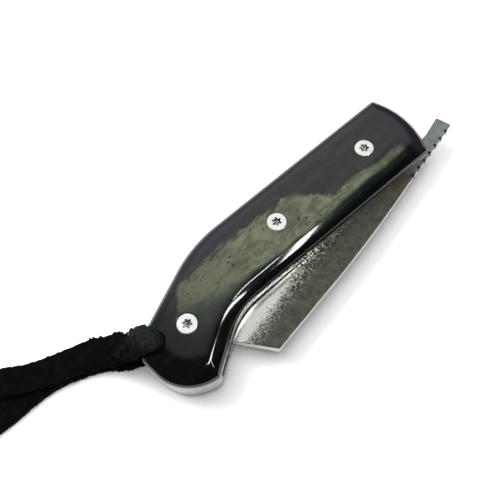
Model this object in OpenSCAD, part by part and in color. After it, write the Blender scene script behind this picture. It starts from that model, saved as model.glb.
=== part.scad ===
// Friction folding knife, lying closed on its far side.
// X runs along the handle to the butt, Y points to the side where the blade lies open to view, Z is thickness.
// The origin is on the pivot axis, in the plane that the knife rests on.

/* [Handle] */
// Thickness of each horn scale
scale_t = 4; // [3.5:0.1:4.5]
// Thickness of each steel liner
liner_t = 1.5; // [1.2:0.1:1.8]
// Width of the round-over along the back of a scale
back_round = 5; // [4:0.5:6]
// Width of the round-over along the blade side of a scale
belly_round = 6; // [5:0.5:7]
// Width of the round-over across the butt of a scale
butt_round = 8; // [7:0.5:8.5]
// Width of the round-over across the pivot end of a scale
nose_round = 6; // [5:0.5:7]

/* [Blade] */
// Thickness of the blade
blade_t = 3; // [2.6:0.1:3.2]
// Height of the ground bevel above the cutting edge
bevel_h = 10; // [8:0.5:11]
// Thickness left at the cutting edge
edge_t = 0.4; // [0.3:0.1:0.6]
// Angle at which the blade stands open
opened = 0; // [0:5:175]
// Number of grip notches on the tang lever and the spine next to it
notches = 7; // [5:1:7]
// Width of a grip notch
notch_w = 1; // [0.8:0.1:1.2]
// Depth of a grip notch
notch_d = 0.8; // [0.5:0.1:1]

/* [Pivot, screws and pins] */
// Thickness of each bronze washer
washer_t = 0.2; // [0.1:0.1:0.3]
// Radius of each bronze washer
washer_r = 6; // [5:0.5:6.5]
// Radius of the barrels that the screws thread into
barrel_r = 2.5; // [2.2:0.1:2.5]
// Radius of a screw head
head_r = 3; // [2.8:0.1:3]
// Height of a screw head
head_h = 2.2; // [2:0.1:2.4]
// Radius of a screw shank
shank_r = 1.2; // [1:0.1:1.3]
// How far a screw shank reaches into its barrel
shank_in = 2.6; // [2:0.1:2.8]
// Radius of the stop pin
stop_r = 1.5; // [1.4:0.1:1.5]
// Radius of the dowels that hold the front of the spacer
dowel_r = 1; // [0.8:0.1:1.2]
// Radial clearance of every pin, barrel and shank in its hole
fit_gap = 0.05; // [0.02:0.01:0.08]

/* [Lanyard] */
// Radius of the lanyard hole
hole_r = 3; // [2.6:0.1:3]
// Width of the leather lace where it lies flat
lace_w = 8.5; // [7:0.5:8.5]
// Thickness of the leather lace where it lies flat
lace_t = 1.8; // [1.4:0.1:1.8]

/* [Hidden] */
$fn = 48;

// Layers of the handle, upward from the resting plane
far_liner_z = scale_t;
slot_z = far_liner_z + liner_t;
slot_t = blade_t + 2 * washer_t;
near_liner_z = slot_z + slot_t;
near_scale_z = near_liner_z + liner_t;
top_z = near_scale_z + scale_t;
blade_z = slot_z + washer_t;
blade_mid_z = blade_z + blade_t / 2;
metal_h = near_scale_z - far_liner_z;

// Corners of an outline are each [x, y, radius, steps of its arc].
// Handle outline, counter-clockwise from the back of the butt, from where every other corner can be seen.
// Its eight edges: butt, foot of the butt, belly hook, belly, nose, nose, back, back behind the hump.
// A fifth value is how fast the radius shrinks up the round-over: the nose's arc has to fit its short edges.
handle_corners = [
    [92.8, -6.2, 7.6, 8, 1],
    [92.8, 14.1, 13.4, 10, 1],
    [81.4, 16.3, 0.6, 2, 1],
    [64.2, 7, 25, 6, 1],
    [-13.5, 14.7, 1, 3, 1],
    [-21.4, 3, 27, 8, 2.1],
    [-17.8, -10.8, 1.4, 4, 1],
    [59, -17.9, 44, 6, 1]
];
edge_rounds = [
    butt_round, butt_round, belly_round, belly_round, nose_round, nose_round, back_round, back_round
];
// Heights in the round-over of a scale, as angles of a quarter ellipse, and the plain wall below it
round_angles = [0, 15, 30, 45, 60, 75, 90];
scale_wall = 0.4;
// Least radius of an inner corner of the round-over, and how much of its inset is added to it
inner_corner = 0.6;
inner_growth = 0.2;

// Places of the fasteners, each [x, y]
pivot_at = [0, 0];
mid_at = [37.2, -2.9];
rear_at = [77.2, 0];
hole_at = [86.6, -3];
dowels_at = [[44, -13.4], [60, -13.6]];
stop_radius = 11;
stop_turn = -24;
stop_at = stop_radius * [cos(stop_turn), sin(stop_turn)];

// Blade: the tang lever's inner edge, and the corners from the kick round to the lever's end
lever_inner = [-27.9, 8.1];
lever_slope = 11;
lever_fillet = 12;
tang_r = 7;
kick_y = stop_at.y + stop_r + 0.1;
edge_start = [15.5, -2.2];
tip = [75.3, 4.9];
blade_corners = [
    [12.3, kick_y, 0.5, 3],
    [13.6, -0.4, 0.8, 6],
    [edge_start.x, edge_start.y, 0.3, 2],
    [tip.x, tip.y, 0.4, 4],
    [64.3, 22.4, 0.5, 3],
    [23, 19.9, 450, 8],
    [-3, 16.4, 30, 3],
    [-28.7, 13.3, 0.6, 4],
    [lever_inner.x, lever_inner.y, 0.6, 4]
];
edge_angle = atan2(tip.y - edge_start.y, tip.x - edge_start.x);
bevel_start = 1;
bevel_end = 72;
bevel_slope = (blade_t - edge_t) / 2 / bevel_h;
bevel_below = 4;
notch_first = [-25.6, 13.67];
notch_pitch = 3.4;
notch_slope = 6.9;

// Spacer: inner boundary from the front of the back band round to the blade side of the butt
spacer_inner = [
    [31, -10.2, 0.5, 3],
    [66, -10.4, 5, 6],
    [70.6, -4, 3, 5],
    [72.4, 3, 2.5, 8],
    [81.4, 3.6, 4, 8],
    [80.2, 15, 1, 3]
];
far_out = 40;

// Screw recess: six round lobes about a core
recess_core = 0.85;
recess_lobe = 0.3;
recess_at = 0.95;
recess_depth = 1.3;

// Flat lace: points along each tail, [x, y, z, share of the full width, share of the full thickness]
near_route = [
    [85.2, -1.7, 15.5, 0.6, 0.9], [87.2, -3.4, 15.7, 0.75, 0.9], [89.2, -5.3, 15.1, 0.9, 1],
    [90.9, -7.1, 13.3, 0.95, 1], [92.2, -8.7, 10.7, 1, 1], [93.4, -10.4, 8, 1, 1],
    [95, -12.5, 5.6, 1, 1], [97.2, -14.9, 3.9, 1, 1], [100, -17.3, 3.1, 1, 1],
    [103.5, -19.5, 2.9, 1, 1], [107.5, -21.4, 2.9, 1, 1], [112, -23.4, 2.9, 1, 1],
    [116.5, -25.8, 2.9, 1, 1], [120.5, -28.4, 2.9, 1, 1], [124.5, -31.6, 2.8, 1, 1],
    [128, -35, 2.1, 1, 1], [131, -38.8, 1.3, 1, 1], [133.5, -43, 1, 1, 1],
    [135.5, -47.5, 1, 1, 1], [137, -52, 1, 1, 1], [138, -57, 1, 1, 1]
];
far_route = [
    [86.6, -3, 0.6, 0.6, 0.5], [88.6, -5, 0.35, 0.55, 0.3], [90.9, -7.5, 0.7, 0.7, 0.6],
    [93.2, -10.2, 1, 1, 1], [96.2, -13.3, 1, 1, 1], [99.6, -16.2, 1, 1, 1],
    [103.5, -18.7, 1, 1, 1], [108, -20.8, 1, 1, 1], [112.5, -22.4, 1, 1, 1],
    [117, -23.5, 1, 1, 1], [121.5, -24.1, 1, 1, 1], [126, -24.4, 1, 1, 1],
    [130.5, -24.8, 1, 1, 1], [135, -25.6, 1, 1, 1], [139.5, -27, 1, 1, 1],
    [144, -29, 1, 1, 1], [148, -31.6, 1, 1, 1]
];
lace_section = [
    [-0.5, -0.2], [-0.4, -0.5], [0.4, -0.5], [0.5, -0.2], [0.5, 0.2], [0.4, 0.5], [-0.4, 0.5], [-0.5, 0.2]
];

function unit(v) = v / norm(v);
function flat(p) = [p.x, p.y];
function left_of(v) = [-v.y, v.x];
function turn(a, b, c) = cross(b - a, c - b);

// Points of the arc that rounds the corner between the points a and c
function corner_arc(a, corner, c) =
    let (b = flat(corner))
    let (r = corner[2])
    let (steps = corner[3])
    let (u = unit(a - b))
    let (v = unit(c - b))
    let (half = acos(u * v) / 2)
    let (centre = b + unit(u + v) * r / sin(half))
    let (from = b + u * r / tan(half) - centre)
    let (start = atan2(from.y, from.x))
    let (sweep = (180 - 2 * half) * sign(turn(a, b, c)))
    [for (i = [0:steps]) centre + r * [cos(start + sweep * i / steps), sin(start + sweep * i / steps)]];

// Rounded corners in order, from the point before the first corner to the point after the last
function rounded_between(before, corners, after) =
    let (n = len(corners))
    [for (i = [0:n - 1]) each corner_arc(
        i == 0 ? before : flat(corners[i - 1]),
        corners[i],
        i == n - 1 ? after : flat(corners[i + 1]))];

// A closed outline from its corners
function rounded(corners) = rounded_between(flat(corners[len(corners) - 1]), corners, flat(corners[0]));

// Where the line through p along u meets the line through q along v
function meet(p, u, q, v) = p + u * cross(q - p, v) / cross(u, v);

// The corners moved inward, each edge by its own distance
function moved_in(corners, insets) =
    let (n = len(corners))
    [for (i = [0:n - 1])
        let (a = flat(corners[(i + n - 1) % n]))
        let (b = flat(corners[i]))
        let (c = flat(corners[(i + 1) % n]))
        let (u = unit(b - a))
        let (v = unit(c - b))
        let (before = insets[(i + n - 1) % n])
        let (p = meet(b + left_of(u) * before, u, b + left_of(v) * insets[i], v))
        let (change = (before + insets[i]) / 2 * sign(turn(a, b, c)))
        let (shrunk = corners[i][2] - corners[i][4] * change)
        [p.x, p.y, max(shrunk, inner_corner + inner_growth * change), corners[i][3]]];

// Faces that join rings of n points each into one closed skin; every point of an end ring is seen from its first
function ring_faces(rings, n) = concat(
    [[for (i = [0:n - 1]) i]],
    [for (k = [0:rings - 2]) for (i = [0:n - 1]) each [
        [k * n + i, (k + 1) * n + (i + 1) % n, k * n + (i + 1) % n],
        [k * n + i, (k + 1) * n + i, (k + 1) * n + (i + 1) % n]
    ]],
    [[for (i = [n:-1:1]) (rings - 1) * n + i % n]]
);

handle_outline = rounded(handle_corners);

// One ring of a scale's skin at height z, where the round-over has turned through the angle a
function scale_ring(z, a) =
    [for (p = rounded(moved_in(handle_corners, edge_rounds * (1 - cos(a))))) [p.x, p.y, z]];

// Lever and tang: the hollow curve under the lever, then the round tang, as far as the kick
lever_normal = [sin(lever_slope), -cos(lever_slope)];
lever_along = [cos(lever_slope), sin(lever_slope)];
lever_off = -lever_inner * lever_normal;
hollow_reach = lever_fillet + tang_r;
hollow_centre = -lever_normal * (lever_off - lever_fillet)
    - lever_along * sqrt(pow(hollow_reach, 2) - pow(lever_off - lever_fillet, 2));
hollow_meets = atan2(-hollow_centre.y, -hollow_centre.x);
hollow_curve = [for (i = [0:12])
    let (a = 90 + lever_slope + (hollow_meets - 90 - lever_slope) * i / 12)
    hollow_centre + lever_fillet * [cos(a), sin(a)]];
kick_angle = asin(kick_y / tang_r);
tang_curve = [for (i = [1:16])
    let (a = hollow_meets + 180 + (kick_angle + 180 - hollow_meets) * i / 16)
    tang_r * [cos(a), sin(a)]];
before_kick = tang_r * [cos(kick_angle), sin(kick_angle)];
blade_arcs = rounded_between(before_kick, blade_corners, hollow_curve[0]);
blade_outline = concat(blade_arcs, hollow_curve, tang_curve);

spacer_front = [spacer_inner[0].x, -far_out];
spacer_end = [79.6, far_out];
spacer_mask = concat([spacer_front], rounded_between(spacer_front, spacer_inner, spacer_end),
    [spacer_end, [3 * far_out, far_out], [3 * far_out, -far_out]]);

// One cross-section of a flat lace at point i of its route: the width lies level
function lace_ring(route, i) =
    let (a = route[max(i - 1, 0)])
    let (b = route[min(i + 1, len(route) - 1)])
    let (along = unit([b.x - a.x, b.y - a.y, b.z - a.z]))
    let (side = unit([-along.y, along.x, 0]))
    let (up = cross(along, side))
    let (w = lace_w * route[i][3])
    let (t = lace_t * route[i][4])
    [for (s = lace_section) [route[i].x, route[i].y, route[i].z] + side * s.x * w + up * s.y * t];

// Flat leather lace along a route
module lace(route) {
    rings = len(route);
    sides = len(lace_section);
    polyhedron([for (i = [0:rings - 1]) each lace_ring(route, i)], ring_faces(rings, sides));
}

module at(p, z) {
    translate([p.x, p.y, z]) children();
}

// Straight hole of radius r through everything between the heights z0 and z1
module bore(p, r, z0, z1) {
    at(p, z0 - 1) cylinder(r = r, h = z1 - z0 + 2);
}

// Horn scale, inner face at z = 0, with counterbored screw holes and the lanyard hole
module scale_slab() {
    points = concat(
        scale_ring(-1, 0),
        [for (a = round_angles) each scale_ring(scale_wall + (scale_t - scale_wall) * sin(a), a)],
        scale_ring(scale_t + 1, 90)
    );
    difference() {
        intersection() {
            polyhedron(points, ring_faces(len(round_angles) + 2, len(handle_outline)));
            translate([-far_out, -far_out, 0]) cube([4 * far_out, 2 * far_out, scale_t]);
        }
        for (p = [pivot_at, mid_at, rear_at]) {
            bore(p, shank_r + fit_gap, 0, scale_t);
            at(p, scale_t - head_h) cylinder(r = head_r + 0.15, h = head_h + 1);
        }
        bore(hole_at, hole_r, 0, scale_t);
    }
}

// Steel liner with a hole for each barrel, pin and dowel, and for the lanyard
module liner_plate() {
    difference() {
        linear_extrude(liner_t) polygon(handle_outline);
        for (p = [pivot_at, mid_at, rear_at]) bore(p, barrel_r + fit_gap, 0, liner_t);
        for (p = dowels_at) bore(p, dowel_r + fit_gap, 0, liner_t);
        bore(stop_at, stop_r + fit_gap, 0, liner_t);
        bore(hole_at, hole_r, 0, liner_t);
    }
}

// Flat-headed screw with a six-lobe recess, head's top at z = 0 and shank downward
module screw() {
    difference() {
        union() {
            translate([0, 0, -head_h]) cylinder(r = head_r, h = head_h);
            translate([0, 0, -scale_t - shank_in]) cylinder(r = shank_r, h = scale_t + shank_in - head_h / 2);
        }
        translate([0, 0, -recess_depth]) linear_extrude(recess_depth + 1) {
            circle(recess_core);
            for (a = [0:60:300]) rotate(a) translate([recess_at, 0]) circle(recess_lobe);
        }
    }
}

module near_screw(p) {
    color("gainsboro") at(p, top_z) screw();
}

module far_screw(p) {
    color("gainsboro") at(p, 0) mirror([0, 0, 1]) screw();
}

// Threaded barrel that spans both liners
module barrel(p) {
    color("lightgray") difference() {
        at(p, far_liner_z) cylinder(r = barrel_r, h = metal_h);
        bore(p, shank_r + fit_gap, far_liner_z, near_scale_z);
    }
}

module washer(z) {
    color("peru") difference() {
        at(pivot_at, z) cylinder(r = washer_r, h = washer_t);
        bore(pivot_at, barrel_r + fit_gap, z, z + washer_t);
    }
}

module far_scale() {
    color("darkslategray") translate([0, 0, scale_t]) mirror([0, 0, 1]) scale_slab();
}

module near_scale() {
    color("darkslategray") translate([0, 0, near_scale_z]) scale_slab();
}

module far_liner() {
    color("silver") translate([0, 0, far_liner_z]) liner_plate();
}

module near_liner() {
    color("silver") translate([0, 0, near_liner_z]) liner_plate();
}

// Spacer along the back and across the butt, flush with the liners
module back_spacer() {
    color("darkgray") difference() {
        translate([0, 0, slot_z]) linear_extrude(slot_t) intersection() {
            polygon(handle_outline);
            polygon(spacer_mask);
        }
        bore(rear_at, barrel_r + fit_gap, slot_z, near_liner_z);
        for (p = dowels_at) bore(p, dowel_r + fit_gap, slot_z, near_liner_z);
        bore(hole_at, hole_r, slot_z, near_liner_z);
    }
}

// Wedge that one bevel takes off the upper face, along the cutting edge
module bevel_cut() {
    reach = bevel_end - bevel_start;
    at(edge_start, blade_mid_z) rotate([0, 0, edge_angle]) translate([bevel_start, 0, 0])
        rotate([90, 0, 90]) linear_extrude(reach) polygon([
            [-bevel_below, edge_t / 2 - bevel_below * bevel_slope],
            [bevel_h, blade_t / 2],
            [bevel_h, blade_t],
            [-bevel_below, blade_t]
        ]);
}

// Blade, tang and tang lever forged in one piece
module blade() {
    color("dimgray") rotate([0, 0, opened]) difference() {
        translate([0, 0, blade_z]) linear_extrude(blade_t) polygon(blade_outline);
        bore(pivot_at, barrel_r + fit_gap, blade_z, blade_z + blade_t);
        bevel_cut();
        translate([0, 0, 2 * blade_mid_z]) mirror([0, 0, 1]) bevel_cut();
        for (i = [0:notches - 1])
            at(notch_first + i * notch_pitch * [cos(notch_slope), sin(notch_slope)], blade_z - 1)
                rotate([0, 0, notch_slope]) translate([-notch_w / 2, -notch_d, 0])
                    cube([notch_w, notch_d + 3, blade_t + 2]);
    }
}

module far_washer() {
    washer(slot_z);
}

module near_washer() {
    washer(near_liner_z - washer_t);
}

module pivot_barrel() {
    barrel(pivot_at);
}

module pivot_screw_near() {
    near_screw(pivot_at);
}

module pivot_screw_far() {
    far_screw(pivot_at);
}

module mid_barrel() {
    barrel(mid_at);
}

module mid_screw_near() {
    near_screw(mid_at);
}

module mid_screw_far() {
    far_screw(mid_at);
}

module rear_barrel() {
    barrel(rear_at);
}

module rear_screw_near() {
    near_screw(rear_at);
}

module rear_screw_far() {
    far_screw(rear_at);
}

// Pin that stops the kick when the knife is closed and the lever when it is open
module stop_pin() {
    color("lightgray") at(stop_at, far_liner_z) cylinder(r = stop_r, h = metal_h);
}

module spacer_dowels() {
    color("lightgray") for (p = dowels_at) at(p, far_liner_z) cylinder(r = dowel_r, h = metal_h);
}

// The lace gathered into a round bundle inside the lanyard hole
module lanyard_in_hole() {
    color("black") at(hole_at, 1.3) cylinder(r = hole_r - 0.3, h = top_z - 1.3);
}

module lanyard_near_tail() {
    color("black") lace(near_route);
}

module lanyard_far_tail() {
    color("black") lace(far_route);
}

far_scale();
far_liner();
back_spacer();
near_liner();
near_scale();
blade();
far_washer();
near_washer();
pivot_barrel();
pivot_screw_near();
pivot_screw_far();
mid_barrel();
mid_screw_near();
mid_screw_far();
rear_barrel();
rear_screw_near();
rear_screw_far();
stop_pin();
spacer_dowels();
lanyard_in_hole();
lanyard_near_tail();
lanyard_far_tail();
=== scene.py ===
"""A closed friction folding knife with horn scales and a leather lace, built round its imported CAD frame."""

import math
import random

import bmesh
import bpy
import numpy as np
from mathutils import Matrix, Vector
from mathutils.geometry import delaunay_2d_cdt
from mathutils.noise import noise


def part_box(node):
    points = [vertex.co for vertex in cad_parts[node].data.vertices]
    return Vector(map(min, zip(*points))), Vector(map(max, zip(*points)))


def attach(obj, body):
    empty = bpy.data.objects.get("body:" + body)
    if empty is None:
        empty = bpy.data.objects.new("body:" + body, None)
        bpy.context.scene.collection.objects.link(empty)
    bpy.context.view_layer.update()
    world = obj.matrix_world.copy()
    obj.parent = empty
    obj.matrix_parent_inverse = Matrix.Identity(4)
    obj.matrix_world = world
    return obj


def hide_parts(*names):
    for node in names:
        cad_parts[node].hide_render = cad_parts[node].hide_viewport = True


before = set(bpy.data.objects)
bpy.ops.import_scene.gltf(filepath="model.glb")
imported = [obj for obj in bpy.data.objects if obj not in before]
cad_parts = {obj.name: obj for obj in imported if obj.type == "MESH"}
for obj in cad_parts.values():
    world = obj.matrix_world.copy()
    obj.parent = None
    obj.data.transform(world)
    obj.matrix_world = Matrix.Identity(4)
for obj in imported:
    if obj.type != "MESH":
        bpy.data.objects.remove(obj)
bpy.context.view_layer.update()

MM = 0.001

# Layers of the handle in millimetres, read from the frame
far_liner_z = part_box("far_liner")[0].z / MM
slot_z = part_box("far_liner")[1].z / MM
near_liner_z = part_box("near_liner")[0].z / MM
near_scale_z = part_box("near_scale")[0].z / MM
top_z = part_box("near_scale")[1].z / MM
blade_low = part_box("blade")[0].z / MM
blade_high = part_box("blade")[1].z / MM
scale_t = top_z - near_scale_z
blade_t = blade_high - blade_low
blade_mid = (blade_low + blade_high) / 2

# Places of the fasteners, [x, y] in millimetres
PIVOT = (0.0, 0.0)
MID = (37.2, -2.9)
REAR = (77.2, 0.0)
HOLE = (86.6, -3.0)
DOWELS = ((44.0, -13.4), (60.0, -13.6))
STOP_RADIUS = 11.0
STOP_TURN = math.radians(-24)
STOP = (STOP_RADIUS * math.cos(STOP_TURN), STOP_RADIUS * math.sin(STOP_TURN))
BARREL_R = 2.5
STOP_R = 1.5
DOWEL_R = 1.0
SHANK_R = 1.2
HEAD_R = 3.0
HEAD_H = 2.2
SHANK_END = scale_t + 2.6
HOLE_R = 3.0
FIT_GAP = 0.05
COUNTERBORE_R = HEAD_R + 0.15

# Handle outline: corners [x, y, radius, how fast the radius shrinks up the round-over], counter-clockwise
# from the back of the butt, the steps of each arc and straight run, the width of each edge's round-over, and
# the height of the plain wall below it
HANDLE = [
    [92.8, -6.2, 7.6, 1], [92.8, 14.1, 13.4, 1], [81.4, 16.3, 0.6, 1], [64.2, 7, 25, 1],
    [-13.5, 14.7, 1, 1], [-21.4, 3, 27, 2.1], [-17.8, -10.8, 1.4, 1], [59, -17.9, 44, 1],
]
OUTLINE_STEPS = [24, 30, 8, 18, 8, 24, 10, 18]
RUN_STEPS = 12
ROUNDS = np.array([8.0, 8.0, 6.0, 6.0, 6.0, 6.0, 5.0, 5.0])
SCALE_WALL = 0.4
# The least radius of a corner, and how fast that grows as the outline moves in
INNER_CORNER = 0.6
INNER_GROWTH = 0.2
# The eased edges of the plates between the scales
LINER_CHAMFER = 0.12
SPACER_CHAMFER = 0.05

# Lace in millimetres: its width and thickness, what its edges and faces give up to wear, the spacing of its
# sections, the lowest that its skin lies, where its rough stretch ends and how gradually, and the length and
# extra thickness of the rolled start by the hole
LACE_W = 8.5
LACE_T = 1.8
LACE_EDGE_LOSS = 0.25
LACE_FACE_LOSS = 0.1
LACE_STEP = 0.45
LACE_LOW = 0.05
ROUGH_END = 33.0
ROUGH_FADE = 7.0
ROLL_LENGTH = 8.5
ROLL_THICKER = 1.9
# Routes of its two tails: [x, y, z, share of the width, share of the thickness]
NEAR_ROUTE = [
    [85.2, -1.7, 15.5, 0.6, 0.9], [87.2, -3.4, 15.7, 0.75, 0.9], [89.2, -5.3, 15.1, 0.9, 1],
    [90.9, -7.1, 13.3, 0.95, 1], [92.2, -8.7, 10.7, 1, 1], [93.4, -10.4, 8, 1, 1],
    [95, -12.5, 5.6, 1, 1], [97.2, -14.9, 3.9, 1, 1], [100, -17.3, 3.1, 1, 1],
    [103.5, -19.5, 2.9, 1, 1], [107.5, -21.4, 2.9, 1, 1], [112, -23.4, 2.9, 1, 1],
    [116.5, -25.8, 2.9, 1, 1], [120.5, -28.4, 2.9, 1, 1], [124.5, -31.6, 2.8, 1, 1],
    [128, -35, 2.1, 1, 1], [131, -38.8, 1.3, 1, 1], [133.5, -43, 1, 1, 1],
    [135.5, -47.5, 1, 1, 1], [137, -52, 1, 1, 1], [138, -57, 1, 1, 1],
]
FAR_ROUTE = [
    [86.6, -3, 0.6, 0.6, 0.5], [88.6, -5, 0.35, 0.55, 0.3], [90.9, -7.5, 0.7, 0.7, 0.6],
    [93.2, -10.2, 1, 1, 1], [96.2, -13.3, 1, 1, 1], [99.6, -16.2, 1, 1, 1],
    [103.5, -18.7, 1, 1, 1], [108, -20.8, 1, 1, 1], [112.5, -22.4, 1, 1, 1],
    [117, -23.5, 1, 1, 1], [121.5, -24.1, 1, 1, 1], [126, -24.4, 1, 1, 1],
    [130.5, -24.8, 1, 1, 1], [135, -25.6, 1, 1, 1], [139.5, -27, 1, 1, 1],
    [144, -29, 1, 1, 1], [148, -31.6, 1, 1, 1],
]

random.seed(7)


# ---------------------------------------------------------------- camera

def make_camera():
    """The photograph's view: from above the butt, 63 degrees down, rolled a little."""
    data = bpy.data.cameras.new("camera")
    data.sensor_width = 36
    data.lens = 44.86
    data.clip_start = 0.005
    camera = bpy.data.objects.new("camera", data)
    bpy.context.scene.collection.objects.link(camera)
    camera.location = (0.0998, 0.0605, 0.1757)
    camera.rotation_euler = [math.radians(a) for a in (26.307, 3.951, 133.29)]
    bpy.context.scene.camera = camera


# ---------------------------------------------------------------- meshes

def make_mesh(name, points, faces):
    """A mesh object from points in millimetres."""
    mesh = bpy.data.meshes.new(name)
    mesh.from_pydata([tuple(p) for p in np.asarray(points, float) * MM], [], faces)
    mesh.validate()
    piece = bpy.data.objects.new(name, mesh)
    bpy.context.scene.collection.objects.link(piece)
    return piece


def paint(piece, materials, index_of):
    """Gives each face one of several materials; index_of takes its middle, in millimetres, and its normal."""
    mesh = piece.data
    mesh.materials.clear()
    for material in materials:
        mesh.materials.append(material)
    for face in mesh.polygons:
        face.material_index = index_of(face.center / MM, face.normal)


def settle(piece, material, body, sharp=35, replaces=()):
    """Clean normals, smooth shading with sharp edges kept, material, slot and body."""
    mesh = piece.data
    tidy = bmesh.new()
    tidy.from_mesh(mesh)
    bmesh.ops.recalc_face_normals(tidy, faces=tidy.faces)
    tidy.to_mesh(mesh)
    tidy.free()
    mesh.shade_smooth()
    mesh.set_sharp_from_angle(angle=math.radians(sharp))
    mesh.materials.clear()
    mesh.materials.append(material)
    if replaces:
        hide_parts(*replaces)
    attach(piece, body)
    return piece


def apply_modifiers(piece):
    """Turns the object's modifiers into its mesh."""
    graph = bpy.context.evaluated_depsgraph_get()
    graph.update()
    made = bpy.data.meshes.new_from_object(piece.evaluated_get(graph))
    piece.modifiers.clear()
    old = piece.data
    piece.data = made
    bpy.data.meshes.remove(old)


def cut(piece, tools, operation="DIFFERENCE"):
    """Boolean of the piece with each tool object in turn; the tools are removed."""
    for tool in tools:
        step = piece.modifiers.new("cut", "BOOLEAN")
        step.operation = operation
        step.object = tool
        step.solver = "EXACT"
    bpy.context.view_layer.update()
    apply_modifiers(piece)
    for tool in tools:
        bpy.data.objects.remove(tool)


def loft(rings):
    """Points and faces that join rings of equal count, with a flat cap at each end."""
    count, n = len(rings), len(rings[0])
    faces = []
    for k in range(count - 1):
        a, b = k * n, (k + 1) * n
        faces += [(a + i, a + (i + 1) % n, b + (i + 1) % n, b + i) for i in range(n)]
    faces.append(tuple(range(n - 1, -1, -1)))
    faces.append(tuple(range((count - 1) * n, count * n)))
    return np.concatenate([np.asarray(r, float) for r in rings]), faces


def circle_ring(centre, radius, z, n=64):
    """n points round a level circle."""
    turn = np.arange(n) * 2 * math.pi / n
    return np.column_stack([
        centre[0] + radius * np.cos(turn), centre[1] + radius * np.sin(turn), np.full(n, z)])


def turned(name, centre, profile, n=64):
    """A turned piece: rings of [radius, z] from bottom to top."""
    return make_mesh(name, *loft([circle_ring(centre, r, z, n) for r, z in profile]))


# ---------------------------------------------------------------- outlines

def unit(v):
    """The vector at length one."""
    v = np.asarray(v, float)
    return v / np.linalg.norm(v)


def cross2(u, v):
    """Cross product of two plane vectors."""
    return u[0] * v[1] - u[1] * v[0]


def corner_arc(a, corner, c, steps):
    """Points of the arc that rounds the corner between the points a and c."""
    b, r = np.array(corner[:2], float), corner[2]
    u, v = unit(a - b), unit(c - b)
    half = math.acos(max(-1, min(1, float(u @ v)))) / 2
    centre = b + unit(u + v) * r / math.sin(half)
    first = b + u * r / math.tan(half) - centre
    start = math.atan2(first[1], first[0])
    sweep = (math.pi - 2 * half) * math.copysign(1, cross2(b - a, c - b))
    return [centre + r * np.array([math.cos(start + sweep * i / steps), math.sin(start + sweep * i / steps)])
            for i in range(steps + 1)]


def rounded(corners, steps, before=None, after=None):
    """An outline from its corners: steps for each arc."""
    n = len(corners)
    flat = [np.array(c[:2], float) for c in corners]
    points = []
    for i in range(n):
        a = before if i == 0 and before is not None else flat[i - 1]
        c = after if i == n - 1 and after is not None else flat[(i + 1) % n]
        points += corner_arc(a, corners[i], c, steps[i])
    return np.array(points)


def moved_in(corners, insets):
    """The corners moved inward, each edge by its own distance."""
    n, out = len(corners), []
    for i in range(n):
        a, b, c = (np.array(corners[j % n][:2], float) for j in (i - 1, i, i + 1))
        u, v = unit(b - a), unit(c - b)
        p = b + np.array([-u[1], u[0]]) * insets[i - 1]
        q = b + np.array([-v[1], v[0]]) * insets[i]
        at = p + u * cross2(q - p, v) / cross2(u, v)
        change = (insets[i - 1] + insets[i]) / 2 * math.copysign(1, cross2(b - a, c - b))
        radius = max(corners[i][2] - corners[i][3] * change, INNER_CORNER + INNER_GROWTH * change)
        out.append([at[0], at[1], radius])
    return out


def handle_ring(insets, z):
    """One ring of the handle's skin at height z, its straight runs divided as well."""
    arcs = rounded(moved_in(HANDLE, insets), OUTLINE_STEPS)
    ring, start = [], 0
    for steps in OUTLINE_STEPS:
        ring += list(arcs[start:start + steps + 1])
        start += steps + 1
        ahead = arcs[start % len(arcs)]
        ring += [ring[-1] + (ahead - ring[-1]) * k / RUN_STEPS for k in range(1, RUN_STEPS)]
    ring = np.array(ring)
    return np.column_stack([ring, np.full(len(ring), z)])


# ---------------------------------------------------------------- materials

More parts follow.
